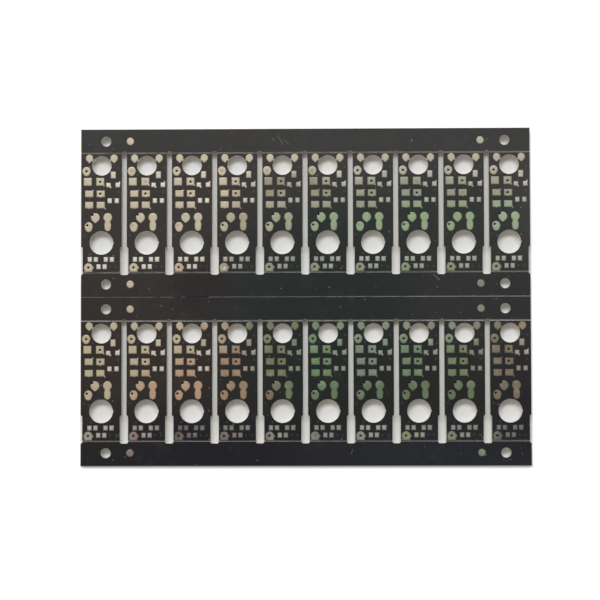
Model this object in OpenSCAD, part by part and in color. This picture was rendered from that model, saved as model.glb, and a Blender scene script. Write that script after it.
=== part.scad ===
// Bare circuit board: one scored panel that carries two rows of small boards.
// Routed slots part the small boards, score lines join them to the rails, and
// the rails carry tooling holes and fiducials. X runs along the rows, Y runs
// from the boards' feet to their heads, and the panel lies on z = 0.

/* [Panel] */
// Thickness of the finished board, coatings included
board_t = 1.6; // [1.4:0.1:2.4]
// Distance between two small boards of a row, centre to centre
pitch = 9; // [8.8:0.1:12]
// What the routed edge leaves on the outer side of a row's end boards
end_allowance = 0.1; // [0:0.05:1]
// Width of the rail above each row's heads
head_rail = 4.75; // [4.4:0.05:10]
// Width of the rail below each row's feet
foot_rail = 4.9; // [4.4:0.05:10]

/* [Slots] */
// Width of the routed slot between two small boards
slot_w = 1; // [0.8:0.05:1.2]
// Width of the slot between two feet
foot_slot_w = 1.65; // [1.4:0.05:1.9]
// Height of the narrow feet above their score line
foot_h = 5.1; // [4.6:0.1:6]
// How far a slot runs on past the heads' score line
slot_head_run = 0.35; // [0.1:0.05:0.6]
// How far a slot runs on past the feet's score line
slot_foot_run = 0.5; // [0.3:0.05:0.8]
// Corner radius that the routing bit leaves between the feet
router_r = 0.4; // [0.2:0.05:0.5]

/* [Score lines] */
// Depth of the score lines along the heads and feet, in each face
score_depth = 0.5; // [0.2:0.05:0.6]
// Depth of the score line between the two rows, in each face
seam_depth = 0.3; // [0.15:0.05:0.6]
// Full angle of the scoring wheel
score_angle = 30; // [20:5:45]
// How far the mask chips back from a score line
mask_chip = 0.02; // [0.01:0.01:0.05]

/* [Holes] */
// Diameter of the hole in each board's head
head_hole_d = 3.9; // [3:0.1:4]
// Diameter of the hole above each board's foot
foot_hole_d = 4.7; // [3:0.1:4.7]
// How far the routing bit bites past a foot hole's edge, where it starts and ends its round
nick = 0.1; // [0.05:0.05:0.25]
// Diameter of the tooling holes in the rails
tooling_d = 2; // [1.5:0.1:3]
// Diameter of the drilled vias, before plating
via_drill = 0.55; // [0.45:0.05:0.6]
// Thickness of the plating in a via
via_wall = 0.05; // [0.03:0.01:0.1]

/* [Coatings] */
// Thickness of the solder mask
mask_t = 0.04; // [0.02:0.01:0.08]
// How far the tinned pads stand proud of the mask
pad_proud = 0.02; // [0.01:0.01:0.05]
// Diameter of the fiducials
fiducial_d = 1.5; // [1:0.1:2]

/* [Hidden] */
$fn = 48;
ROWS = ["upper", "lower"];
COLUMNS = 10;
unit_h = 23.8;

laminate_top = board_t - mask_t;
row_h = foot_rail + unit_h + head_rail;
panel_w = COLUMNS * pitch - slot_w + 2 * end_allowance;
foot_step = (foot_slot_w - slot_w) / 2;
// Half the width of the mask that each kind of score line takes away
score_half = score_depth * tan(score_angle / 2) + mask_chip;
seam_half = seam_depth * tan(score_angle / 2) + mask_chip;
// Cutters run past what they cut by this much
past = 1;

// The tooling holes and fiducials: from the nearest score line, and from the panel's ends
rail_mark = 2.35;
tooling_inset = 5;
fiducial_inset = 9.8;

// Places on a small board: x from its middle, y up from its foot's score line
HEAD_HOLE = [0, 21.3];
FOOT_HOLE = [-0.05, 5.9];
VIAS = [
    [-3.05, 20.2],  // in the eye beside the head hole
    [-0.3, 18.05],  // in the square pad
    [-0.3, 15.7],   // in the bar below it
    [-1.85, 11.5],  // on the edge of the round pad
    [-2.9, 9.4],    // in the oval beside the foot hole
    [-2.65, 1]      // in the eye of the foot
];
// Vias that the tin has closed, as [row, column, via], each counted from 0
CLOSED = [
    [0, 1, 0], [0, 1, 1], [0, 1, 4], [0, 2, 3], [0, 2, 4], [0, 3, 0], [0, 3, 3], [0, 3, 5],
    [0, 4, 0], [0, 5, 0], [0, 6, 3], [0, 6, 4], [0, 7, 1], [0, 8, 2], [0, 8, 3], [1, 5, 5]
];

function row_y(r) = r == 0 ? 0 : -row_h;
function unit_pos(r, c) = [(c - (COLUMNS - 1) / 2) * pitch, row_y(r) + foot_rail];
function two_digits(n) = n < 10 ? str("0", n) : str(n);
function pads_name(r, c) = str(ROWS[r], "_", two_digits(c + 1), "_pads");
function is_closed(r, c, v) = len([for (k = CLOSED) if (k == [r, c, v]) k]) > 0;

// ---- where things repeat ----

module at_units() {
    for (r = [0:1], c = [0:COLUMNS - 1]) translate(unit_pos(r, c)) children();
}

// On the rails, at a distance from the panel's ends
module at_rail_marks(inset) {
    for (r = [0:1], y = [foot_rail - rail_mark, foot_rail + unit_h + rail_mark], s = [-1, 1])
        translate([s * (panel_w / 2 - inset), row_y(r) + y]) children();
}

// ---- the panel's outline and what goes through it ----

module rounded_bar(w, y0, y1, r) {
    translate([-w / 2, y0 + r]) square([w, y1 - y0 - 2 * r]);
    translate([-w / 2 + r, y0]) square([w - 2 * r, y1 - y0]);
    for (x = [-w / 2 + r, w / 2 - r], y = [y0 + r, y1 - r]) translate([x, y]) circle(r);
}

// Narrow between the boards, with a round head, and wider between their feet
module slot() {
    end_y = unit_h + slot_head_run - slot_w / 2;
    translate([-slot_w / 2, 0]) square([slot_w, end_y]);
    translate([0, end_y]) circle(d = slot_w);
    rounded_bar(foot_slot_w, -slot_foot_run, foot_h, router_r);
}

// Routed round with the slots' bit, which leaves a nick on its right
module foot_hole() {
    circle(d = foot_hole_d);
    translate([foot_hole_d / 2 + nick - slot_w / 2, 0]) circle(d = slot_w);
}

// The same step beside the outer feet, open to the panel's end
module end_notch() {
    translate([-foot_step, -slot_foot_run + foot_step])
        square([2 * foot_step, foot_h + slot_foot_run - 2 * foot_step]);
    for (y = [-slot_foot_run + foot_step, foot_h - foot_step])
        translate([0, y]) circle(foot_step);
}

module panel_cuts() {
    for (r = [0:1]) {
        for (c = [0:COLUMNS - 2]) translate(unit_pos(r, c) + [pitch / 2, 0]) slot();
        for (s = [-1, 1]) translate([s * panel_w / 2, row_y(r) + foot_rail]) end_notch();
    }
    at_units() {
        translate(HEAD_HOLE) circle(d = head_hole_d);
        translate(FOOT_HOLE) foot_hole();
    }
    at_rail_marks(tooling_inset) circle(d = tooling_d);
}

module cut_panel() {
    difference() {
        translate([-panel_w / 2, -row_h]) square([panel_w, 2 * row_h]);
        panel_cuts();
    }
}

// ---- score lines ----

// Places its children's Y axis on each score line; $depth and $half say how big it is
module at_score_lines() {
    for (r = [0:1], y = [foot_rail, foot_rail + unit_h]) {
        $depth = score_depth;
        $half = score_half;
        translate([0, row_y(r) + y, 0]) children();
    }
    $depth = seam_depth;
    $half = seam_half;
    children();
}

// A V cut down from z = 0 along the whole panel
module v_groove(depth) {
    open = (depth + past) * tan(score_angle / 2);
    translate([-panel_w / 2 - past, 0, 0]) rotate([90, 0, 90])
        linear_extrude(panel_w + 2 * past)
            polygon([[0, -depth], [open, past], [-open, past]]);
}

module score_grooves() {
    at_score_lines() {
        translate([0, 0, board_t]) v_groove($depth);
        mirror([0, 0, 1]) v_groove($depth);
    }
}

module score_strips() {
    at_score_lines() translate([-panel_w / 2 - past, -$half])
        square([panel_w + 2 * past, 2 * $half]);
}

// ---- the pads of a small board, as the mask leaves them open ----

module pad(x, y, w, h) {
    translate([x - w / 2, y - h / 2]) square([w, h]);
}

// The end of a trace that shows at a pad's edge, running out at angle a
module trace_end(x, y, a, run, w) {
    translate([x, y]) rotate(a) translate([0, -w / 2]) square([run, w]);
}

// A round pad that draws in towards a smaller round, run below its middle
module drop_pad(x, y, d, tip_d, run) {
    a = asin((d - tip_d) / 2 / run);
    translate([x, y]) {
        circle(d = d);
        translate([0, -run]) circle(d = tip_d);
        polygon([
            [d / 2 * cos(a), -d / 2 * sin(a)], [tip_d / 2 * cos(a), -run - tip_d / 2 * sin(a)],
            [-tip_d / 2 * cos(a), -run - tip_d / 2 * sin(a)], [-d / 2 * cos(a), -d / 2 * sin(a)]
        ]);
    }
}

// A shoulder's pad and its copper that the head hole cuts through
module shoulder_pad(x, y) {
    to_hole = HEAD_HOLE - [x, y];
    difference() {
        union() {
            drop_pad(x, y, 1.5, 0.55, 0.67);
            trace_end(x, y, atan2(to_hole.y, to_hole.x), norm(to_hole) - head_hole_d / 4, 0.4);
        }
        translate(HEAD_HOLE) circle(d = head_hole_d);
    }
}

// Head: a pad on each shoulder, an eye with a via, and a single chip pad
module head_pads() {
    for (x = [-2.45, 2.45]) shoulder_pad(x, 22.8);
    drop_pad(-3.05, 20.25, 1.7, 1.4, 0.32);
    pad(2.3, 19.45, 1, 1.35);
}

// Left: three pairs of component pads, the first pair square
module component_pads() {
    pad(-2.8, 18.1, 1.6, 1.55);
    pad(-0.3, 18.1, 1.6, 1.55);
    trace_end(0.2, 17.6, -45, 0.5, 0.35);
    for (x = [-2.5, -0.2], y = [15.7, 13.45]) pad(x, y, 1.65, 1.3);
    trace_end(-2, 16.2, 30, 0.5, 0.2);
    trace_end(-0.2, 15.5, -90, 0.55, 0.5);
    trace_end(-2.5, 13.4, -90, 0.7, 0.5);
    trace_end(0.3, 13.2, -50, 0.75, 0.3);
}

// Right: two pairs of chip pads
module chip_pads() {
    pad(1.35, 17.45, 0.9, 0.85);
    trace_end(1.5, 17.3, -50, 0.55, 0.4);
    pad(3.2, 17.45, 0.9, 0.9);
    trace_end(3.35, 17.6, 65, 0.6, 0.3);
    for (x = [1.6, 3]) pad(x, 14.3, 0.85, 0.95);
}

// Middle: a round pad, an oval, and a round pad that runs into a long one
module middle_pads() {
    drop_pad(-1.27, 10.95, 1.8, 0.6, 0.8);
    drop_pad(-2.6, 9.2, 1.65, 1.4, 0.43);
    drop_pad(1.2, 10.97, 1.78, 1.3, 0.35);
    drop_pad(1.2, 9.55, 1.36, 1.25, 0.7);
    trace_end(1.2, 10.2, -90, 0.5, 1.05);
}

// Foot: an upper row of four chip pads, a lower row of two, and an eye with a via
module foot_pads() {
    for (x = [-2.35, -1.15, 0.85, 2.05]) pad(x, 2.6, 0.85, 0.95);
    trace_end(2.2, 2.8, 40, 0.4, 0.25);
    for (x = [-0.6, 0.6]) pad(x, 1.15, 0.85, 0.95);
    difference() {
        union() {
            translate([-2.62, 0.93]) circle(d = 1.84);
            trace_end(-2, 0.95, 0, 0.45, 0.35);
            pad(-2.65, 0.15, 1.7, 0.3);
        }
        pad(-2.65, 0, 3, 2 * (score_half - mask_chip));
    }
}

module unit_pads() {
    head_pads();
    component_pads();
    chip_pads();
    middle_pads();
    foot_pads();
}

module vias(d, r, c, open_only) {
    for (v = [0:len(VIAS) - 1])
        if (!open_only || !is_closed(r, c, v)) translate(VIAS[v]) circle(d = d);
}

// ---- the pieces ----

// Woven glass and resin, with the underside's coat as its lowest skin, which closes the vias
module laminate() {
    color([0.74, 0.71, 0.6]) difference() {
        linear_extrude(laminate_top) cut_panel();
        score_grooves();
        translate([0, 0, mask_t]) linear_extrude(board_t)
            for (r = [0:1], c = [0:COLUMNS - 1])
                translate(unit_pos(r, c)) vias(via_drill, r, c, false);
    }
}

// The black coat on the upper face, open at the pads and along the score lines
module mask_top() {
    color([0.13, 0.13, 0.13]) translate([0, 0, laminate_top]) linear_extrude(mask_t)
        difference() {
            cut_panel();
            score_strips();
            at_rail_marks(fiducial_inset) circle(d = fiducial_d);
            for (r = [0:1], c = [0:COLUMNS - 1]) translate(unit_pos(r, c)) {
                unit_pads();
                vias(via_drill - 2 * via_wall, r, c, true);
            }
        }
}

module fiducials() {
    color([0.85, 0.81, 0.7]) translate([0, 0, laminate_top])
        linear_extrude(mask_t + pad_proud) at_rail_marks(fiducial_inset) circle(d = fiducial_d);
}

// A small board's tinned pads and the plated vias below them
module pads(r, c) {
    bore_d = via_drill - 2 * via_wall;
    color([0.85, 0.81, 0.7]) translate(unit_pos(r, c)) difference() {
        union() {
            translate([0, 0, laminate_top]) linear_extrude(mask_t + pad_proud) unit_pads();
            translate([0, 0, mask_t]) linear_extrude(laminate_top - mask_t)
                vias(via_drill, r, c, false);
        }
        linear_extrude(board_t + past) vias(bore_d, r, c, true);
    }
}

laminate();
mask_top();
fiducials();
for (r = [0:1], c = [0:COLUMNS - 1])
    pads(r, c);
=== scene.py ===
"""The looks of a bare circuit board panel, around its CAD frame. Lengths here are in millimetres
and become metres through MM. X runs along the rows, Y from the boards' feet to their heads."""

import math

import bmesh
import bpy
import numpy as np
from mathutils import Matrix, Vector
from mathutils.geometry import delaunay_2d_cdt


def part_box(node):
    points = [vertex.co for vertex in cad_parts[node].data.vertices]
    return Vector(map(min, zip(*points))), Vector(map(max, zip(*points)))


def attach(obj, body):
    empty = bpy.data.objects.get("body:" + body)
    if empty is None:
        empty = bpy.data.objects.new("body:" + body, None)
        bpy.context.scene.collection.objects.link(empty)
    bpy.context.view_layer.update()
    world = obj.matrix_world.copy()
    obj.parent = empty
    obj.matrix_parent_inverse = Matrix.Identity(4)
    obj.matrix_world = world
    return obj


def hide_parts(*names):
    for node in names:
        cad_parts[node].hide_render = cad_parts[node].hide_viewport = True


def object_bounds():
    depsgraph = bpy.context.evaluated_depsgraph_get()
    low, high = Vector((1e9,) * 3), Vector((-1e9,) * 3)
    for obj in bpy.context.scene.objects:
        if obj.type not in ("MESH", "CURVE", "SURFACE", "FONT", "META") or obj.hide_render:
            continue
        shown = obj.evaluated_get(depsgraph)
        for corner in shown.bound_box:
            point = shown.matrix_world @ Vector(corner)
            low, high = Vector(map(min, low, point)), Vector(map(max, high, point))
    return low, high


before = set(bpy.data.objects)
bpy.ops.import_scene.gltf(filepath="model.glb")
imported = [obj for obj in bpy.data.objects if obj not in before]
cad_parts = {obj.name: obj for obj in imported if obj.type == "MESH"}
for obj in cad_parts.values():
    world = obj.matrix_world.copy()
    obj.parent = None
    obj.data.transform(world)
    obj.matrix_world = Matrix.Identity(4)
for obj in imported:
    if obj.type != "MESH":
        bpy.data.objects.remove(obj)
cad_low, cad_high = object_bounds()

MM = 0.001
ROWS = ("upper", "lower")
COLUMNS = 10


def in_mm(point):
    return Vector(point) / MM


# ---- the panel's layout, read from the frame ----

PANEL_LOW, PANEL_HIGH = in_mm(cad_low), in_mm(cad_high)
MASK_LOW, MASK_HIGH = (in_mm(corner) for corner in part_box("mask_top"))
PADS_TOP = PANEL_HIGH.z
PITCH = (in_mm(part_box("upper_02_pads")[0]) - in_mm(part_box("upper_01_pads")[0])).x
# The eye of a foot is cut off this far above its board's foot line
EYE_ABOVE_FOOT = 0.134


def unit_x(column):
    """The middle line of a column of small boards."""
    return (column - (COLUMNS - 1) / 2) * PITCH


def foot_y(row):
    """The line at the feet of a row's boards, where its lower score runs."""
    return in_mm(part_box(row + "_01_pads")[0]).y - EYE_ABOVE_FOOT


# ---- camera: down from arm's length, tipped a little both ways as it was held ----

CAMERA_AT = (5.0, -14.5, 350)
CAMERA_TILT = [math.radians(a) for a in (2.27, 1.0, -0.13)]
CAMERA_LENS = 105.5
CAMERA_CLIP = (10, 10000)


def make_camera():
    data = bpy.data.cameras.new("camera")
    data.lens = CAMERA_LENS
    data.clip_start, data.clip_end = (distance * MM for distance in CAMERA_CLIP)
    camera = bpy.data.objects.new("camera", data)
    camera.location = Vector(CAMERA_AT) * MM
    camera.rotation_euler = CAMERA_TILT
    bpy.context.scene.collection.objects.link(camera)
    bpy.context.scene.camera = camera


make_camera()
bpy.context.scene.view_settings.view_transform = "Standard"


# ---- short ways to make and join shader nodes ----


class Tree:
    """A material's or world's node tree.

    A value given to a node is a number, a colour or another node's output.
    """

    def __init__(self, owner):
        owner.use_nodes = True
        self.tree = owner.node_tree
        self.tree.nodes.clear()

    def add(self, kind, inputs=None, **settings):
        node = self.tree.nodes.new("ShaderNode" + kind)
        for name, value in settings.items():
            setattr(node, name, value)
        for name, value in (inputs or {}).items():
            self.put(node.inputs[name], value)
        return node

    def put(self, socket, value):
        if isinstance(value, bpy.types.NodeSocket):
            self.tree.links.new(value, socket)
        else:
            socket.default_value = value

    def math(self, operation, *values):
        return self.add("Math", dict(enumerate(values)), operation=operation).outputs[0]

    def times(self, a, b):
        return self.math("MULTIPLY", a, b)

    def ramp(self, value, base, gain):
        """The base, plus the gain where the value is 1."""
        return self.math("MULTIPLY_ADD", value, gain, base)

    def away(self, value, middle):
        """How far the value is from the middle."""
        return self.math("ABSOLUTE", self.math("SUBTRACT", value, middle))

    def step(self, value, start, end):
        """0 at start and 1 at end, with a smooth rise between them."""
        node = self.add("MapRange", {"Value": value, "From Min": start, "From Max": end},
                        interpolation_type="SMOOTHSTEP")
        return node.outputs["Result"]

    def mix(self, factor, a, b):
        node = self.add("Mix", {"Factor": factor}, data_type="RGBA", clamp_factor=True)
        for name, value in (("A_Color", a), ("B_Color", b)):
            socket = next(s for s in node.inputs if s.identifier == name)
            self.put(socket, rgba(value) if isinstance(value, tuple) else value)
        return next(s for s in node.outputs if s.identifier == "Result_Color")

    def tint(self, colour, tint, mask, share):
        """The colour, under this share of the tint where the mask is 1."""
        return self.mix(self.times(mask, share), colour, tint)

    def noise(self, vector, scale, detail, roughness=0.5):
        inputs = {"Vector": vector, "Scale": scale, "Detail": detail, "Roughness": roughness}
        return self.add("TexNoise", inputs).outputs["Fac"]

    def scaled(self, vector, factors):
        node = self.add("VectorMath", {0: vector, 1: factors}, operation="MULTIPLY")
        return node.outputs[0]

    def split(self, vector):
        return self.add("SeparateXYZ", {"Vector": vector}).outputs

    def attribute(self, name):
        """A value that the mesh carries at its vertices."""
        return self.add("Attribute", attribute_name=name).outputs["Fac"]

    def place(self):
        """The surface's place on the panel, in millimetres."""
        return self.scaled(self.add("TexCoord").outputs["Object"], (1 / MM,) * 3)

    def patch(self, place, centre, radii, soft):
        """1 inside an ellipse on the panel, falling to 0 over its soft edge, a share of its radii."""
        shifted = self.add("VectorMath", {0: place, 1: (-centre[0], -centre[1], 0)}, operation="ADD")
        shrunk = self.scaled(shifted.outputs[0], (1 / radii[0], 1 / radii[1], 0))
        length = self.add("VectorMath", {0: shrunk}, operation="LENGTH").outputs["Value"]
        return self.step(length, 1 + soft, 1 - soft)

    def wobbled(self, place, scale, amount):
        """The place pushed about by noise, so that patches laid by it aren't plain ellipses."""
        noise = self.add("TexNoise", {"Vector": place, "Scale": scale, "Detail": 2.0}).outputs["Color"]
        centred = self.add("VectorMath", {0: noise, 1: (-0.5,) * 3}, operation="ADD").outputs[0]
        pushed = self.scaled(centred, (amount, amount, 0))
        return self.add("VectorMath", {0: place, 1: pushed}, operation="ADD").outputs[0]

    def bump(self, height, distance, strength, normal=None):
        inputs = {"Height": height, "Distance": distance * MM, "Strength": strength}
        if normal is not None:
            inputs["Normal"] = normal
        return self.add("Bump", inputs).outputs["Normal"]

    def output(self, kind, shader):
        self.add("Output" + kind, {"Surface": shader.outputs[0]})

    def surface(self, inputs):
        self.output("Material", self.add("BsdfPrincipled", inputs))


def rgba(colour):
    return (*colour, 1.0)


# ---- materials ----

# Patches over the tin, its own uneven tone and partly painted reflection of the room: colour, middle,
# radii and soft share of each patch, laid one over another
CREAM = (0.39, 0.335, 0.245)
TIN_PATCHES = [
    # Upper row's right half: dull cream heads, olive below them and green along the middle pads,
    # with a brown top on the fifth board and grey-olive feet
    ((0.332, 0.304, 0.232), (24, 20), (32, 16), 0.15),
    ((0.225, 0.225, 0.165), (23, 17), (31, 7.5), 0.3),
    ((0.205, 0.265, 0.155), (23, 15.2), (29, 3.0), 0.5),
    ((0.212, 0.18, 0.127), (-2.5, 22.5), (8, 2.8), 0.5),
    ((0.205, 0.218, 0.17), (26, 6.5), (20, 3.5), 0.4),
    ((0.172, 0.172, 0.135), (-1, 7), (8, 3.2), 0.4),
    ((0.235, 0.285, 0.195), (40, 16.5), (5, 3.5), 0.5),
    # Its fourth board, between cream and olive; pinkish feet there and on the third, and a painted glint
    # in the fourth's eye
    ((0.28, 0.24, 0.17), (-11.5, 15), (4, 6), 0.6),
    ((0.215, 0.18, 0.15), (-12.5, 6.6), (4, 2.8), 0.5),
    ((0.36, 0.285, 0.207), (-22.5, 6.9), (4, 2.8), 0.4),
    ((0.66, 0.56, 0.49), (-15.68, 5.68), (0.33, 0.33), 0.6),
    # Lower row: tan, then salmon, then brown boards, uneven from pad to pad, with dark feet
    ((0.365, 0.31, 0.213), (-36, -16), (25, 16), 0.2),
    ((0.345, 0.22, 0.145), (-22.5, -17.8), (12, 5.5), 0.6),
    ((0.237, 0.161, 0.108), (-13, -15), (4.8, 12), 0.35),
    ((0.13, 0.14, 0.083), (-11, -5.75), (1.7, 1.7), 0.3),
    ((0.19, 0.145, 0.108), (-11.2, -12.4), (1.6, 3.2), 0.4),
    ((0.3, 0.21, 0.15), (-20.2, -7.2), (1.6, 3.0), 0.4),
    ((0.3, 0.235, 0.16), (-16.4, -8.2), (2.2, 3.6), 0.4),
    ((0.25, 0.225, 0.19), (-41, -26.5), (5, 3.2), 0.4),
    ((0.20, 0.145, 0.125), (-32, -26.5), (5, 3.2), 0.4),
    ((0.09, 0.072, 0.063), (-22, -26.5), (7, 3.4), 0.4),
    # Olive and green over its right half, strongest on the sixth board, and brown by the fifth's oval
    ((0.13, 0.14, 0.083), (19, -16), (29.3, 20), 0.06),
    ((0.115, 0.175, 0.10), (14, -13), (15, 9), 0.4),
    ((0.15, 0.18, 0.135), (13.5, -13), (4, 7), 0.5),
    ((0.175, 0.205, 0.14), (20, -6.5), (16, 2.5), 0.6),
    ((0.10, 0.135, 0.08), (18, -18.5), (19, 2.6), 0.5),
    ((0.107, 0.188, 0.085), (2.2, -13.5), (2.4, 4.5), 0.5),
    ((0.155, 0.127, 0.083), (-7.2, -19.6), (1.8, 1.5), 0.4),
    ((0.14, 0.148, 0.09), (-7.2, -6.4), (2.6, 3.0), 0.3),
    # Its feet: brown on the fourth board, pale past it
    ((0.125, 0.10, 0.082), (-12, -26.6), (6, 3.2), 0.4),
    ((0.15, 0.148, 0.128), (14, -26.6), (20, 3.0), 0.3),
    ((0.215, 0.215, 0.19), (13.5, -26.6), (5, 3.0), 0.7),
    # Its brown last board, with a salmon corner and a grey foot
    ((0.153, 0.123, 0.087), (41, -15), (5, 8.5), 0.3),
    ((0.24, 0.18, 0.12), (43.4, -8.5), (2.2, 6), 0.5),
    ((0.10, 0.098, 0.085), (41, -26.8), (4.6, 3.2), 0.3),
    # Olive eyes at the feet of both rows' right halves
    ((0.18, 0.198, 0.13), (20, 5.6), (25, 1.0), 0.5),
    ((0.185, 0.195, 0.125), (22, -27.7), (12, 1.4), 0.4),
    # Round marks on the rails: greyer on the right and along the bottom
    ((0.18, 0.18, 0.14), (34.8, 0), (1.6, 5), 0.4),
    ((0.17, 0.14, 0.118), (-34.8, -31), (1.6, 1.6), 0.4),
    ((0.153, 0.176, 0.134), (34.8, -31), (1.6, 1.6), 0.4),
]
# Where the tin ran in clouds and in its grain; painted shade on its rims, where it also lies thinner,
# and painted shade down the vias
TIN_CLOUD = (0.35, 0.34, 0.29)
TIN_GRAIN = (0.11, 0.10, 0.08)
TIN_THIN_AND_SHADE = (0.03, 0.028, 0.022)
TIN_BARREL_SHADE = (0.02, 0.018, 0.015)
BARREL_SHADE_DEPTHS = (0.02, 0.12)  # how far below the mask the painted shade down a via begins and is full


def tin_material():
    """Hot-air levelled tin: satin, with painted shade along each pad's rim, over each via and down the
    vias, tinted in soft patches that are partly painted reflection.
    """
    material = bpy.data.materials.new("tinned_copper_look")
    t = Tree(material)
    place = t.place()
    wobbled = t.wobbled(place, scale=0.12, amount=5)
    colour = CREAM
    # Colour patches, partly painted reflection of the room in the tin
    for tint, centre, radii, soft in TIN_PATCHES:
        colour = t.mix(t.patch(wobbled, centre, radii, soft), colour, tint)
    # Uneven from pad to pad and within each, as the tin ran
    cloud = t.noise(place, scale=0.55, detail=3)
    colour = t.tint(colour, TIN_CLOUD, t.step(cloud, 0.45, 0.8), share=0.28)
    grain = t.noise(place, scale=3.2, detail=4, roughness=0.65)
    colour = t.tint(colour, TIN_GRAIN, t.step(grain, 0.45, 0.75), share=0.28)
    # Greyer and lighter on the small pads as painted sheen; darker along every rim and over each via as
    # painted shade, and in narrow places where the tin lies thin; painted shade down the vias
    small = t.attribute("small")
    # Painted sheen: small pads are lighter and greyer, as their domed rims catch the light
    small_pad_sheen = {"Color": colour, "Saturation": t.ramp(small, base=1.0, gain=-0.42),
             "Value": t.ramp(small, base=1.08, gain=0.3)}
    colour = t.add("HueSaturation", small_pad_sheen).outputs["Color"]
    # Painted shade on the rims' steep edges and in the hollows over vias, with the darker thin tin at
    # rims and in narrow places
    colour = t.tint(colour, TIN_THIN_AND_SHADE, t.attribute("rim"), share=0.5)
    # Painted shade down the vias' barrels, below the mask
    down = t.step(t.split(place)[2], *(MASK_LOW.z - depth for depth in BARREL_SHADE_DEPTHS))
    colour = t.tint(colour, TIN_BARREL_SHADE, down, share=0.85)
    waves = t.noise(place, scale=1.3, detail=2)
    normal = t.bump(waves, distance=0.05, strength=0.5)
    normal = t.bump(grain, distance=0.006, strength=0.6, normal=normal)
    t.surface({"Base Color": colour, "Metallic": 1.0, "Normal": normal,
               "Roughness": t.ramp(grain, base=0.26, gain=0.2)})
    return material


# The mask's tone: near black at the bottom, greyed towards the top rail by painted sheen, with faint
# tints
MASK_TOP_SHEEN_TONE = (0.0335, 0.0325, 0.0325)
MASK_FOOT_TONE = (0.004, 0.004, 0.005)
MASK_PATCHES = [
    ((0.029, 0.0235, 0.0195), (-25, 16), (24, 13), 0.6),  # warmer between the upper row's pads
    ((0.016, 0.0195, 0.017), (22, 12), (23, 12), 0.6),
    ((0.023, 0.0155, 0.0115), (-34, -12), (20, 14), 0.7),  # brownish left
    ((0.0045, 0.0055, 0.004), (8, -18), (24, 12), 0.6),  # near black in the lower middle
    ((0.004, 0.0095, 0.009), (2, 1), (20, 15), 0.7),  # dark teal middle
    ((0.014, 0.007, 0.009), (-21, 2), (6, 4), 0.8),  # purple stain on the middle rails
    ((0.018, 0.017, 0.018), (40, 0), (14, 9), 0.7),  # greyer right end
    ((0.040, 0.038, 0.035), (45.5, 20), (4, 12), 0.6),
    ((0.0015, 0.0006, 0.004), (-17, -29), (18, 7), 0.7),  # darkest along the bottom, then bluish
    ((0.008, 0.009, 0.013), (26, -31), (26, 6), 0.6),
]
# Specks of dust, one to a cell of a plane pattern and most of them too faint to see
DUST = (0.34, 0.34, 0.35)
SPECK_CELLS = 0.42  # cells a millimetre
SPECK_LEAST, SPECK_MORE = 0.015, 0.05  # radius of the least, and what the largest has more, in cells
SPECK_RARITY = 5.0  # the power that keeps large specks few
# Hairline scratches and lint: start and end on the panel, half width
SCRATCHES = [
    ((-5.4, 32.0), (-4.3, 30.2), 0.035), ((-4.2, 31.3), (-3.1, 30.3), 0.03),
    ((-6.5, 31.6), (-6.1, 31.1), 0.04), ((25.4, 4.3), (26.7, 3.2), 0.05),
    ((35.7, 30.9), (36.4, 31.4), 0.04), ((21.0, 30.7), (21.4, 31.2), 0.05),
    ((29.4, -8.0), (29.7, -7.6), 0.03), ((-37.6, -28.1), (-36.9, -27.0), 0.03),
    ((9.0, -31.2), (9.3, -30.2), 0.03), ((34.6, -27.4), (35.0, -28.2), 0.03),
]


def scratch(t, place, start, end, half_width):
    """1 on a short straight hairline, 0 away from it."""
    run = Vector(end) - Vector(start)
    turn = math.atan2(run.y, run.x)
    middle = (Vector(start) + Vector(end)) / 2
    line = {"Vector": place, "Location": (middle.x, middle.y, 0), "Rotation": (0, 0, turn)}
    x, y, _ = t.split(t.add("Mapping", line, vector_type="TEXTURE").outputs[0])
    along = t.step(t.math("ABSOLUTE", x), run.length / 2 + half_width, run.length / 2 - half_width)
    across = t.step(t.math("ABSOLUTE", y), half_width * 1.6, half_width * 0.4)
    return t.times(along, across)


def mask_tone(t, place):
    """The mask's colour, with its painted sheen towards the top, tints, dust and scratches, and the
    specks and scratches alone.
    """
    y = t.split(place)[1]
    # Painted sheen: the near-black mask is lighter towards the top rail, where it catches more of the
    # softbox's reflection
    colour = t.mix(t.step(y, PANEL_LOW.y, PANEL_HIGH.y), MASK_FOOT_TONE, MASK_TOP_SHEEN_TONE)
    wobbled = t.wobbled(place, scale=0.06, amount=9)
    for tint, centre, radii, soft in MASK_PATCHES:
        colour = t.tint(colour, tint, t.patch(wobbled, centre, radii, soft), share=0.8)
    scattered = {"Vector": place, "Scale": SPECK_CELLS, "Randomness": 1.0}
    cells = t.add("TexVoronoi", scattered, voronoi_dimensions="2D")
    luck = t.split(cells.outputs["Color"])[0]
    size = t.ramp(t.math("POWER", luck, SPECK_RARITY), base=SPECK_LEAST, gain=SPECK_MORE)
    speck = t.step(cells.outputs["Distance"], size, t.times(size, 0.55))
    marks = t.times(speck, t.step(luck, 0.45, 1.0))
    for start, end, half_width in SCRATCHES:
        marks = t.math("MAXIMUM", marks, scratch(t, place, start, end, half_width))
    haze = t.step(t.noise(place, scale=0.35, detail=5, roughness=0.6), 0.5, 0.85)
    colour = t.tint(colour, DUST, haze, share=0.035)
    return t.tint(colour, DUST, marks, share=0.5), marks


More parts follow.
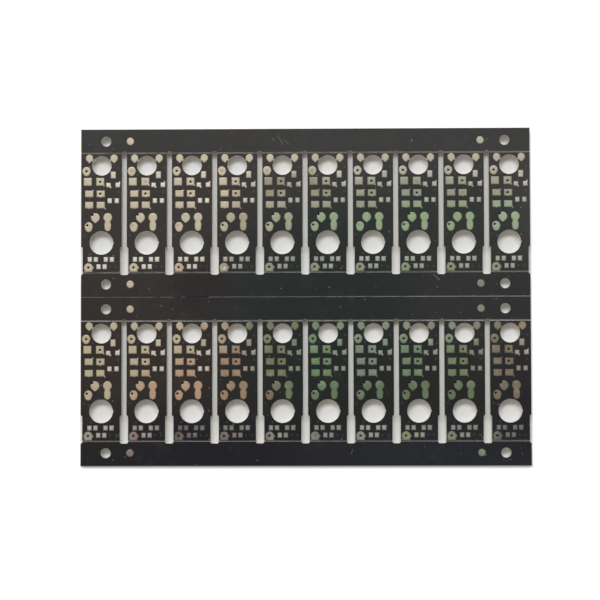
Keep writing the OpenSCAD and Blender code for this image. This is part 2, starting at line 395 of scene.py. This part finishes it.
def mask_material(name, lift):
    """Black liquid solder mask: satin, a little orange-peeled, dusty; lift lightens it."""
    material = bpy.data.materials.new(name)
    t = Tree(material)
    place = t.place()
    colour, marks = mask_tone(t, place)
    colour = t.mix(lift, colour, DUST)
    peel = t.noise(place, scale=5.5, detail=3)
    waves = t.noise(place, scale=0.5, detail=2)
    normal = t.bump(waves, distance=0.03, strength=0.35)
    normal = t.bump(peel, distance=0.002, strength=0.6, normal=normal)
    normal = t.bump(marks, distance=0.01, strength=0.6, normal=normal)
    rough = t.ramp(t.noise(place, scale=1.1, detail=4), base=0.29, gain=0.16)
    t.surface({"Base Color": colour, "Normal": normal, "Specular IOR Level": 0.18,
               "Roughness": t.ramp(marks, base=rough, gain=0.3)})
    return material


# Routed glass and epoxy: dark and light plies, and resin between the fibres
PLY_TONES = ((0.68, 0.66, 0.61), (0.80, 0.78, 0.73))
RESIN_TONE = (0.50, 0.475, 0.42)
# The score lines' flanks: where each line runs, and its ground glass's tone, with painted shade making
# the foot lines darker than the head lines
BOARD_RISE = 23.8  # from a row's lower score line to its upper one
SCORE_TONES = [
    (foot_y("upper") + BOARD_RISE, (0.54, 0.54, 0.52)), (foot_y("upper"), (0.46, 0.455, 0.42)),
    (foot_y("lower") + BOARD_RISE, (0.62, 0.62, 0.60)), (foot_y("lower"), (0.36, 0.355, 0.34)),
]
SCORE_REACH = (0.6, 0.3)  # how near a line's middle its own tone begins and is full
SEAM_Y = 0.0  # the shallow line between the rows
SEAM_TONE = (0.6, 0.6, 0.6)
SMUDGE_TONE = (0.10, 0.10, 0.10)
SEAM_DARK = (0.02, 0.02, 0.02)
JUST_OVER = 0.001  # so that the underside's coat is black up to its top
JUST_UNDER = 0.01  # so that the face under the upper coat is black too


def glass_tone(t, place):
    """The glass and epoxy's colour, and the fibres alone."""
    plies = t.noise(t.scaled(place, (0.5, 0.5, 7.0)), scale=1.0, detail=3)
    fibres = t.noise(t.scaled(place, (5.0, 5.0, 14.0)), scale=1.0, detail=4, roughness=0.7)
    colour = t.mix(t.step(plies, 0.35, 0.65), *PLY_TONES)
    return t.tint(colour, RESIN_TONE, t.step(fibres, 0.5, 0.75), share=0.3), fibres


def scored_tone(t, place, facing, colour):
    """The colour, with the score lines' flanks over it where the surface slopes.

    They are smudged along their length but clean at the right, and the seam is dim at the left,
    where it is lost for a stretch and broken into dashes beside that.
    """
    x, y, _ = t.split(place)
    smudge = t.noise(t.scaled(place, (0.45, 0.3, 0.0)), scale=1.0, detail=4, roughness=0.6)
    smudge = t.times(t.step(smudge, 0.42, 0.68), t.step(x, 34.0, 18.0))
    sloped = t.step(t.math("ABSOLUTE", facing), 0.1, 0.2)
    flank = SEAM_TONE
    # Painted shade: the feet's score lines are given darker tones than the heads'
    for line_y, tone in SCORE_TONES:
        flank = t.mix(t.step(t.away(y, line_y), *SCORE_REACH), flank, tone)
    colour = t.tint(colour, flank, sloped, share=0.85)
    colour = t.tint(colour, SMUDGE_TONE, smudge, share=t.times(sloped, 0.36))
    on_seam = t.step(t.away(y, SEAM_Y), *SCORE_REACH)
    dim = t.times(t.step(x, 28.0, -16.0), 0.42)
    lost = t.patch(place, (-21.5, SEAM_Y), (2.6, 1), 0.35)
    dashes = t.times(t.patch(place, (-27, SEAM_Y), (3.6, 1), 0.2), t.step(smudge, 0.3, 0.6))
    dark = t.math("MAXIMUM", dim, t.math("MAXIMUM", lost, dashes))
    return t.tint(colour, SEAM_DARK, on_seam, share=t.times(dark, 0.9))


def laminate_material():
    """Woven glass and epoxy where it is routed or scored, and black at its two coated faces."""
    material = bpy.data.materials.new("laminate_look")
    t = Tree(material)
    place = t.place()
    z = t.split(place)[2]
    facing = t.split(t.add("NewGeometry").outputs["Normal"])[2]
    colour, fibres = glass_tone(t, place)
    colour = scored_tone(t, place, facing, colour)
    # The coat on the underside, which also closes the vias, and the face under the upper coat
    tone, _ = mask_tone(t, place)
    coated = t.math("GREATER_THAN", MASK_HIGH.z - MASK_LOW.z + JUST_OVER, z)
    at_mask = t.math("GREATER_THAN", z, MASK_LOW.z - JUST_UNDER)
    covered = t.times(t.step(facing, 0.8, 0.9), at_mask)
    black = t.math("MAXIMUM", coated, covered)
    colour = t.mix(black, colour, tone)
    rough = t.ramp(fibres, base=0.55, gain=0.25)
    rough = t.ramp(black, base=rough, gain=-0.3)
    ridges = t.noise(t.scaled(place, (9.0, 9.0, 1.2)), scale=1.0, detail=2)
    normal = t.bump(fibres, distance=0.02, strength=0.5)
    normal = t.bump(ridges, distance=0.012, strength=0.5, normal=normal)
    t.surface({"Base Color": colour, "Roughness": rough, "Specular IOR Level": 0.28, "Normal": normal})
    return material


TIN = tin_material()
MASK = mask_material("solder_mask_look", lift=0.0)
TENTED_MASK = mask_material("tented_mask_look", lift=0.06)
LAMINATE = laminate_material()


def dress(obj, material):
    """Gives a piece its material."""
    obj.data.materials.clear()
    obj.data.materials.append(material)


dress(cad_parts["laminate"], LAMINATE)
dress(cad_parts["mask_top"], MASK)


# ---- pads: the CAD pads with crowned tin, a rounded rim and a dimple over each via ----

# Reading the CAD pads
WELD = 0.002  # vertices nearer than this are one
LEVEL = 0.001  # how level the corners of a flat top are
BARREL_SPAN = 0.8  # vertices at the feet of the barrels and nearer than this belong to one
FOOT_SLACK = 0.01  # how level those feet are
# The points that carry the crown
SPACING = 0.16  # between the points of the grid
RIM_ROWS = (0.035, 0.085)  # rows of points beside the outline
RIM_STEP = 0.12  # between the points of a row
ROW_SLACK = 0.97  # a row's points stay at least this share of its offset from the outline
SAME_PLACE = 0.03  # one point is kept in each square of this side
CDT_EPSILON = 1e-6
# The crown's shape
RIM_RUN = 0.16  # where the steep part of the rim ends
RIM_PROUD = 0.002  # how far the rim stands over the mask
DIMPLE_R = 0.24  # of the hollow over each via
DIMPLE_DEPTH = 0.012
SHARP = math.radians(40)  # edges that turn by more than this stay sharp
# How the tin's look changes over a pad, for the material
RIM_SHADE = 0.19  # how far in the painted shade along the rim shows
VIA_SHADE = 0.9  # the painted shade over a via's hollow, at its middle, falling off as the hollow does
VIA_LAND = 0.4  # outlines this near a via's middle, which are open vias, don't count as a rim
NARROW_REACH = 0.3  # a place is narrow where no point this near is deep inside the pad
NARROW = (0.15, 0.25)  # how deep: all narrow, and not narrow
NARROW_SHADE = 0.9
SMALL_PAD = (1.0, 1.6)  # square millimetres: wholly a small pad, and no longer one


def flat(vectors):
    """The vectors' places on the panel, in millimetres."""
    return np.array([(v[0], v[1]) for v in vectors]) / MM


def via_centres(bm):
    """Where the plated barrels stand: the middles of the groups of vertices at their feet.

    Pads that go no lower than the mask have none.
    """
    low = min(v.co.z for v in bm.verts)
    if low > (MASK_LOW.z - FOOT_SLACK) * MM:
        return []
    groups = []
    for v in bm.verts:
        if v.co.z > low + FOOT_SLACK * MM:
            continue
        near = next((g for g in groups if (g[0].co.xy - v.co.xy).length < BARREL_SPAN * MM), None)
        if near:
            near.append(v)
        else:
            groups.append([v])
    return [flat([sum((v.co for v in g), Vector()) / len(g)])[0] for g in groups]


def distance_to(points, starts, ends):
    """Each point's distance to the nearest of the segments."""
    run = ends - starts
    along = ((points[:, None] - starts) * run).sum(2) / (run ** 2).sum(1)
    nearest = starts + np.clip(along, 0, 1)[..., None] * run
    return np.sqrt(((points[:, None] - nearest) ** 2).sum(2)).min(1)


def inside(points, starts, ends):
    """Which points are inside: a ray from them along +X meets an odd number of segments."""
    x, y = points[:, 0, None], points[:, 1, None]
    crosses = (starts[:, 1] > y) != (ends[:, 1] > y)
    rise = np.where(ends[:, 1] == starts[:, 1], 1, ends[:, 1] - starts[:, 1])
    at = starts[:, 0] + (y - starts[:, 1]) / rise * (ends[:, 0] - starts[:, 0])
    return (crosses & (at > x)).sum(1) % 2 == 1


def outer_distance(points, starts, ends, vias):
    """Each point's distance to the pads' outlines, apart from those round open vias."""
    outer = np.ones(len(starts), bool)
    for via in vias:
        outer &= ((starts - via) ** 2).sum(1) > VIA_LAND ** 2
    return distance_to(points, starts[outer], ends[outer])


def narrowness(at, to_rim):
    """1 on a pad's tail or tip, where the tin lies thin, falling to 0 on its body."""
    deepest = [to_rim[((at - point) ** 2).sum(1) < NARROW_REACH ** 2].max() for point in at]
    return np.interp(deepest, NARROW, (1, 0))


def crown_points(starts, ends):
    """Points for the crown: a grid over the pads and rows beside their outlines."""
    low, high = starts.min(0), starts.max(0)
    axes = (np.arange(low[k], high[k], SPACING) for k in (0, 1))
    grid = np.stack(np.meshgrid(*axes), -1).reshape(-1, 2)
    # Each set of points, with the least distance from the outline that it needs
    candidates = [(grid, RIM_ROWS[-1] + SPACING / 3)]
    run = ends - starts
    length = np.sqrt((run ** 2).sum(1))
    aside = np.stack([-run[:, 1], run[:, 0]], 1) / length[:, None]
    for offset in RIM_ROWS:
        for k, count in enumerate(np.maximum(1, np.round(length / RIM_STEP)).astype(int)):
            shares = (np.arange(count) + 0.5)[:, None] / count
            line = starts[k] + run[k] * shares
            both_sides = np.concatenate([line + aside[k] * offset, line - aside[k] * offset])
            candidates.append((both_sides, offset * ROW_SLACK))
    kept = []
    for least in sorted({c[1] for c in candidates}, reverse=True):
        points = np.concatenate([c[0] for c in candidates if c[1] == least])
        points = points[inside(points, starts, ends)]
        kept.append(points[distance_to(points, starts, ends) >= least])
    points = np.concatenate(kept)
    _, first = np.unique(np.round(points / SAME_PLACE), axis=0, return_index=True)
    return points[np.sort(first)]


def via_dimples(points, vias):
    """1 over the middle of a via, falling smoothly to 0 past its edge."""
    total = np.zeros(len(points))
    for via in vias:
        total += np.exp(-((points - via) ** 2).sum(1) / DIMPLE_R ** 2)
    return total


def crown_height(distance, over_vias):
    """The tin's height: steep at the rim, nearly flat further in, and hollow over each via."""
    rim_z = MASK_HIGH.z + RIM_PROUD
    rise = 1 - (1 - np.minimum(distance / RIM_RUN, 1)) ** 2
    return rim_z + (PADS_TOP - rim_z - DIMPLE_DEPTH * over_vias) * rise


def pad_areas(at, faces):
    """For each point, the area of the pad that it is on: pads are islands of faces."""
    island = np.arange(len(at))
    while True:
        least = island.copy()
        np.minimum.at(least, faces, island[faces].min(1)[:, None].repeat(3, 1))
        if (least == island).all():
            break
        island = least
    sides = at[faces[:, 1:]] - at[faces[:, :1]]
    area = np.zeros(len(at))
    np.add.at(area, island[faces[:, 0]], abs(np.linalg.det(sides)) / 2)
    return area[island]


def flat_top(bm):
    """A pads mesh's flat top faces, and the edges of their outlines."""
    top_z = max(v.co.z for v in bm.verts)
    faces = {f for f in bm.faces if min(v.co.z for v in f.verts) > top_z - LEVEL * MM}
    edges = [e for e in bm.edges if sum(f in faces for f in e.link_faces) == 1]
    return faces, edges


def rim_shades(at, to_rim, over_vias):
    """How dark the tin is painted at each point: 1 on a rim, as painted shade on its steep edge and its
    thinner tin, nearly so in narrow places, where the tin lies thin, and over vias, as painted shade in
    their hollows.
    """
    near = np.maximum(0.0, 1 - to_rim / RIM_SHADE)
    near = near * near * (3 - 2 * near)
    return np.maximum.reduce([near, VIA_SHADE * over_vias, NARROW_SHADE * narrowness(at, to_rim)])


def crowned(node):
    """A copy of a CAD pads node whose flat tops are replaced by crowned ones."""
    bm = bmesh.new()
    bm.from_mesh(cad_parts[node].data)
    # Both layers are made before either is fetched, since making one loses hold of the others
    for name in ("rim", "small"):
        bm.verts.layers.float.new(name)
    rim_layer, small_layer = (bm.verts.layers.float[name] for name in ("rim", "small"))
    bmesh.ops.remove_doubles(bm, verts=bm.verts, dist=WELD * MM)
    tops, edges = flat_top(bm)
    rim = list(dict.fromkeys(v for e in edges for v in e.verts))
    index = {v: k for k, v in enumerate(rim)}
    starts, ends = (flat([e.verts[k].co for e in edges]) for k in (0, 1))
    vias = via_centres(bm)
    points = np.concatenate([flat([v.co for v in rim]), crown_points(starts, ends)])
    pairs = [(index[e.verts[0]], index[e.verts[1]]) for e in edges]
    bmesh.ops.delete(bm, geom=list(tops), context="FACES_ONLY")
    for e in [e for e in bm.edges if not e.link_faces]:
        bm.edges.remove(e)

    made = delaunay_2d_cdt([Vector(p) for p in points], pairs, [], 0, CDT_EPSILON)
    at = np.array([tuple(p) for p in made[0]])
    faces = np.array(made[2])
    faces = faces[inside(at[faces].mean(1), starts, ends)]
    over_vias = via_dimples(at, vias)
    height = crown_height(distance_to(at, starts, ends), over_vias)
    rim_shade = rim_shades(at, outer_distance(at, starts, ends, vias), over_vias)
    small_shade = np.interp(pad_areas(at, faces), SMALL_PAD, (1, 0))
    # The sides and the barrels take a rim's full painted shade
    for v in bm.verts:
        v[rim_layer] = 1.0
    verts = []
    for k, origins in enumerate(made[3]):
        own = next((o for o in origins if o < len(rim)), None)
        v = bm.verts.new() if own is None else rim[own]
        v.co = (at[k][0] * MM, at[k][1] * MM, height[k] * MM)
        v[rim_layer], v[small_layer] = rim_shade[k], small_shade[k]
        verts.append(v)
    for f in faces:
        bm.faces.new([verts[k] for k in f])
    bmesh.ops.recalc_face_normals(bm, faces=bm.faces)
    return finished_mesh(bm, node + "_tin")


def finished_mesh(bm, name):
    mesh = bpy.data.meshes.new(name)
    bm.to_mesh(mesh)
    bm.free()
    mesh.shade_smooth()
    mesh.set_sharp_from_angle(angle=SHARP)
    piece = bpy.data.objects.new(name, mesh)
    bpy.context.scene.collection.objects.link(piece)
    return piece


BOARD_PADS = [f"{row}_{column + 1:02d}_pads" for row in ROWS for column in range(COLUMNS)]
for node in ["fiducials", *BOARD_PADS]:
    piece = crowned(node)
    dress(piece, TIN)
    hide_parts(node)
    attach(piece, "root")


# ---- vias that the mask covers: small dimpled bumps, at the same places on each small board ----

# Each place is measured from its board's middle line and foot line
TENTED = [
    (1.71, 1.15), (2.9, 1.1), (3.34, 20.9), (3.29, 16.1), (-3.39, 7.43), (-2.09, 3.7), (-1.74, 19.5),
]
# A bump's section: distance from its middle, height over the mask
BUMP = [(0.27, -0.004), (0.24, 0.002), (0.19, 0.007), (0.12, 0.004), (0.06, 0.001)]
BUMP_SIDES = 20


def add_bump(bm, x, y):
    turns = [2 * math.pi * k / BUMP_SIDES for k in range(BUMP_SIDES)]
    rings = []
    for radius, height in BUMP:
        z = (MASK_HIGH.z + height) * MM
        places = (((x + radius * math.cos(a)) * MM, (y + radius * math.sin(a)) * MM, z) for a in turns)
        rings.append([bm.verts.new(place) for place in places])
    for outer, inner in zip(rings, rings[1:]):
        for k in range(BUMP_SIDES):
            after = (k + 1) % BUMP_SIDES
            bm.faces.new((outer[k], outer[after], inner[after], inner[k]))
    bm.faces.new(rings[-1])


def tented_vias():
    bm = bmesh.new()
    for row in ROWS:
        for column in range(COLUMNS):
            for x, y in TENTED:
                add_bump(bm, unit_x(column) + x, foot_y(row) + y)
    return finished_mesh(bm, "tented_vias")


covered_vias = tented_vias()
dress(covered_vias, TENTED_MASK)
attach(covered_vias, "root")


# ---- the table, the light and the white round it ----

WHITE = (1.0, 1.0, 1.0)
FLOOR_HALF = 3000
FLOOR_DROP = 0.01  # how far the table is below the panel, so that the two faces don't coincide
FLOOR_ALBEDO = 0.75
EDGE_WHITENING = 1.1  # the table turns plain white over this distance from the panel
AMBIENT = 0.41  # the world's level, before its slope
AMBIENT_SLOPE = (-0.5, 0.4, 0)  # brighter towards the left and beyond the heads
AMBIENT_COLOUR = (1.0, 0.93, 0.81)
KEY_LEVEL = 0.6  # about what the softbox adds to the brightness of a white surface
KEY_COLOUR = (0.94, 0.975, 1.0)
KEY_RISE = math.radians(53)  # above the table
KEY_TURN = math.radians(9)  # to the left
KEY_DISTANCE = 1800
KEY_SIZE = (1560, 510)


def is_seen(t):
    """1 for what the camera sees directly, in a reflection or through glass."""
    path = t.add("LightPath").outputs
    seen = t.math("MAXIMUM", path["Is Camera Ray"], path["Is Glossy Ray"])
    return t.math("MAXIMUM", seen, path["Is Transmission Ray"])


def make_floor():
    """A pale table that shows the panel's shadow close beside it and is plain white further out."""
    mesh = bpy.data.meshes.new("table")
    half, z = FLOOR_HALF * MM, -FLOOR_DROP * MM
    corners = [(-half, -half, z), (half, -half, z), (half, half, z), (-half, half, z)]
    mesh.from_pydata(corners, [], [(0, 1, 2, 3)])
    floor = bpy.data.objects.new("table", mesh)
    bpy.context.scene.collection.objects.link(floor)
    material = bpy.data.materials.new("table_look")
    t = Tree(material)
    x, y, _ = t.split(t.place())
    beyond_x = t.math("SUBTRACT", t.math("ABSOLUTE", x), PANEL_HIGH.x)
    beyond_y = t.math("SUBTRACT", t.math("ABSOLUTE", y), PANEL_HIGH.y)
    white = t.step(t.math("MAXIMUM", beyond_x, beyond_y), 0, EDGE_WHITENING)
    diffuse = t.add("BsdfDiffuse", {"Color": rgba((FLOOR_ALBEDO,) * 3)})
    glow = t.add("Emission", {"Strength": t.times(white, is_seen(t))})
    t.output("Material", t.add("AddShader", {0: diffuse.outputs[0], 1: glow.outputs[0]}))
    mesh.materials.append(material)


def make_world():
    world = bpy.data.worlds.new("studio")
    bpy.context.scene.world = world
    t = Tree(world)
    direction = t.add("TexCoord").outputs["Generated"]
    sloped = t.add("VectorMath", {0: direction, 1: AMBIENT_SLOPE}, operation="DOT_PRODUCT")
    soft = t.ramp(sloped.outputs["Value"], base=AMBIENT, gain=AMBIENT)
    seen = is_seen(t)
    colour = t.mix(seen, AMBIENT_COLOUR, WHITE)
    strength = t.math("MAXIMUM", soft, seen)
    t.output("World", t.add("Background", {"Color": colour, "Strength": strength}))


def make_key():
    """A wide softbox beyond the boards' heads, turned to the left."""
    data = bpy.data.lights.new("softbox", "AREA")
    data.shape = "RECTANGLE"
    data.size, data.size_y = (side * MM for side in KEY_SIZE)
    data.color = KEY_COLOUR
    data.energy = KEY_LEVEL * math.pi ** 2 * (KEY_DISTANCE * MM) ** 2 / math.sin(KEY_RISE)
    key = bpy.data.objects.new("softbox", data)
    flat_run = math.cos(KEY_RISE)
    towards = Vector((-flat_run * math.sin(KEY_TURN), flat_run * math.cos(KEY_TURN), math.sin(KEY_RISE)))
    key.location = towards * KEY_DISTANCE * MM
    key.rotation_euler = towards.to_track_quat("Z", "Y").to_euler()
    bpy.context.scene.collection.objects.link(key)


make_floor()
make_world()
make_key()
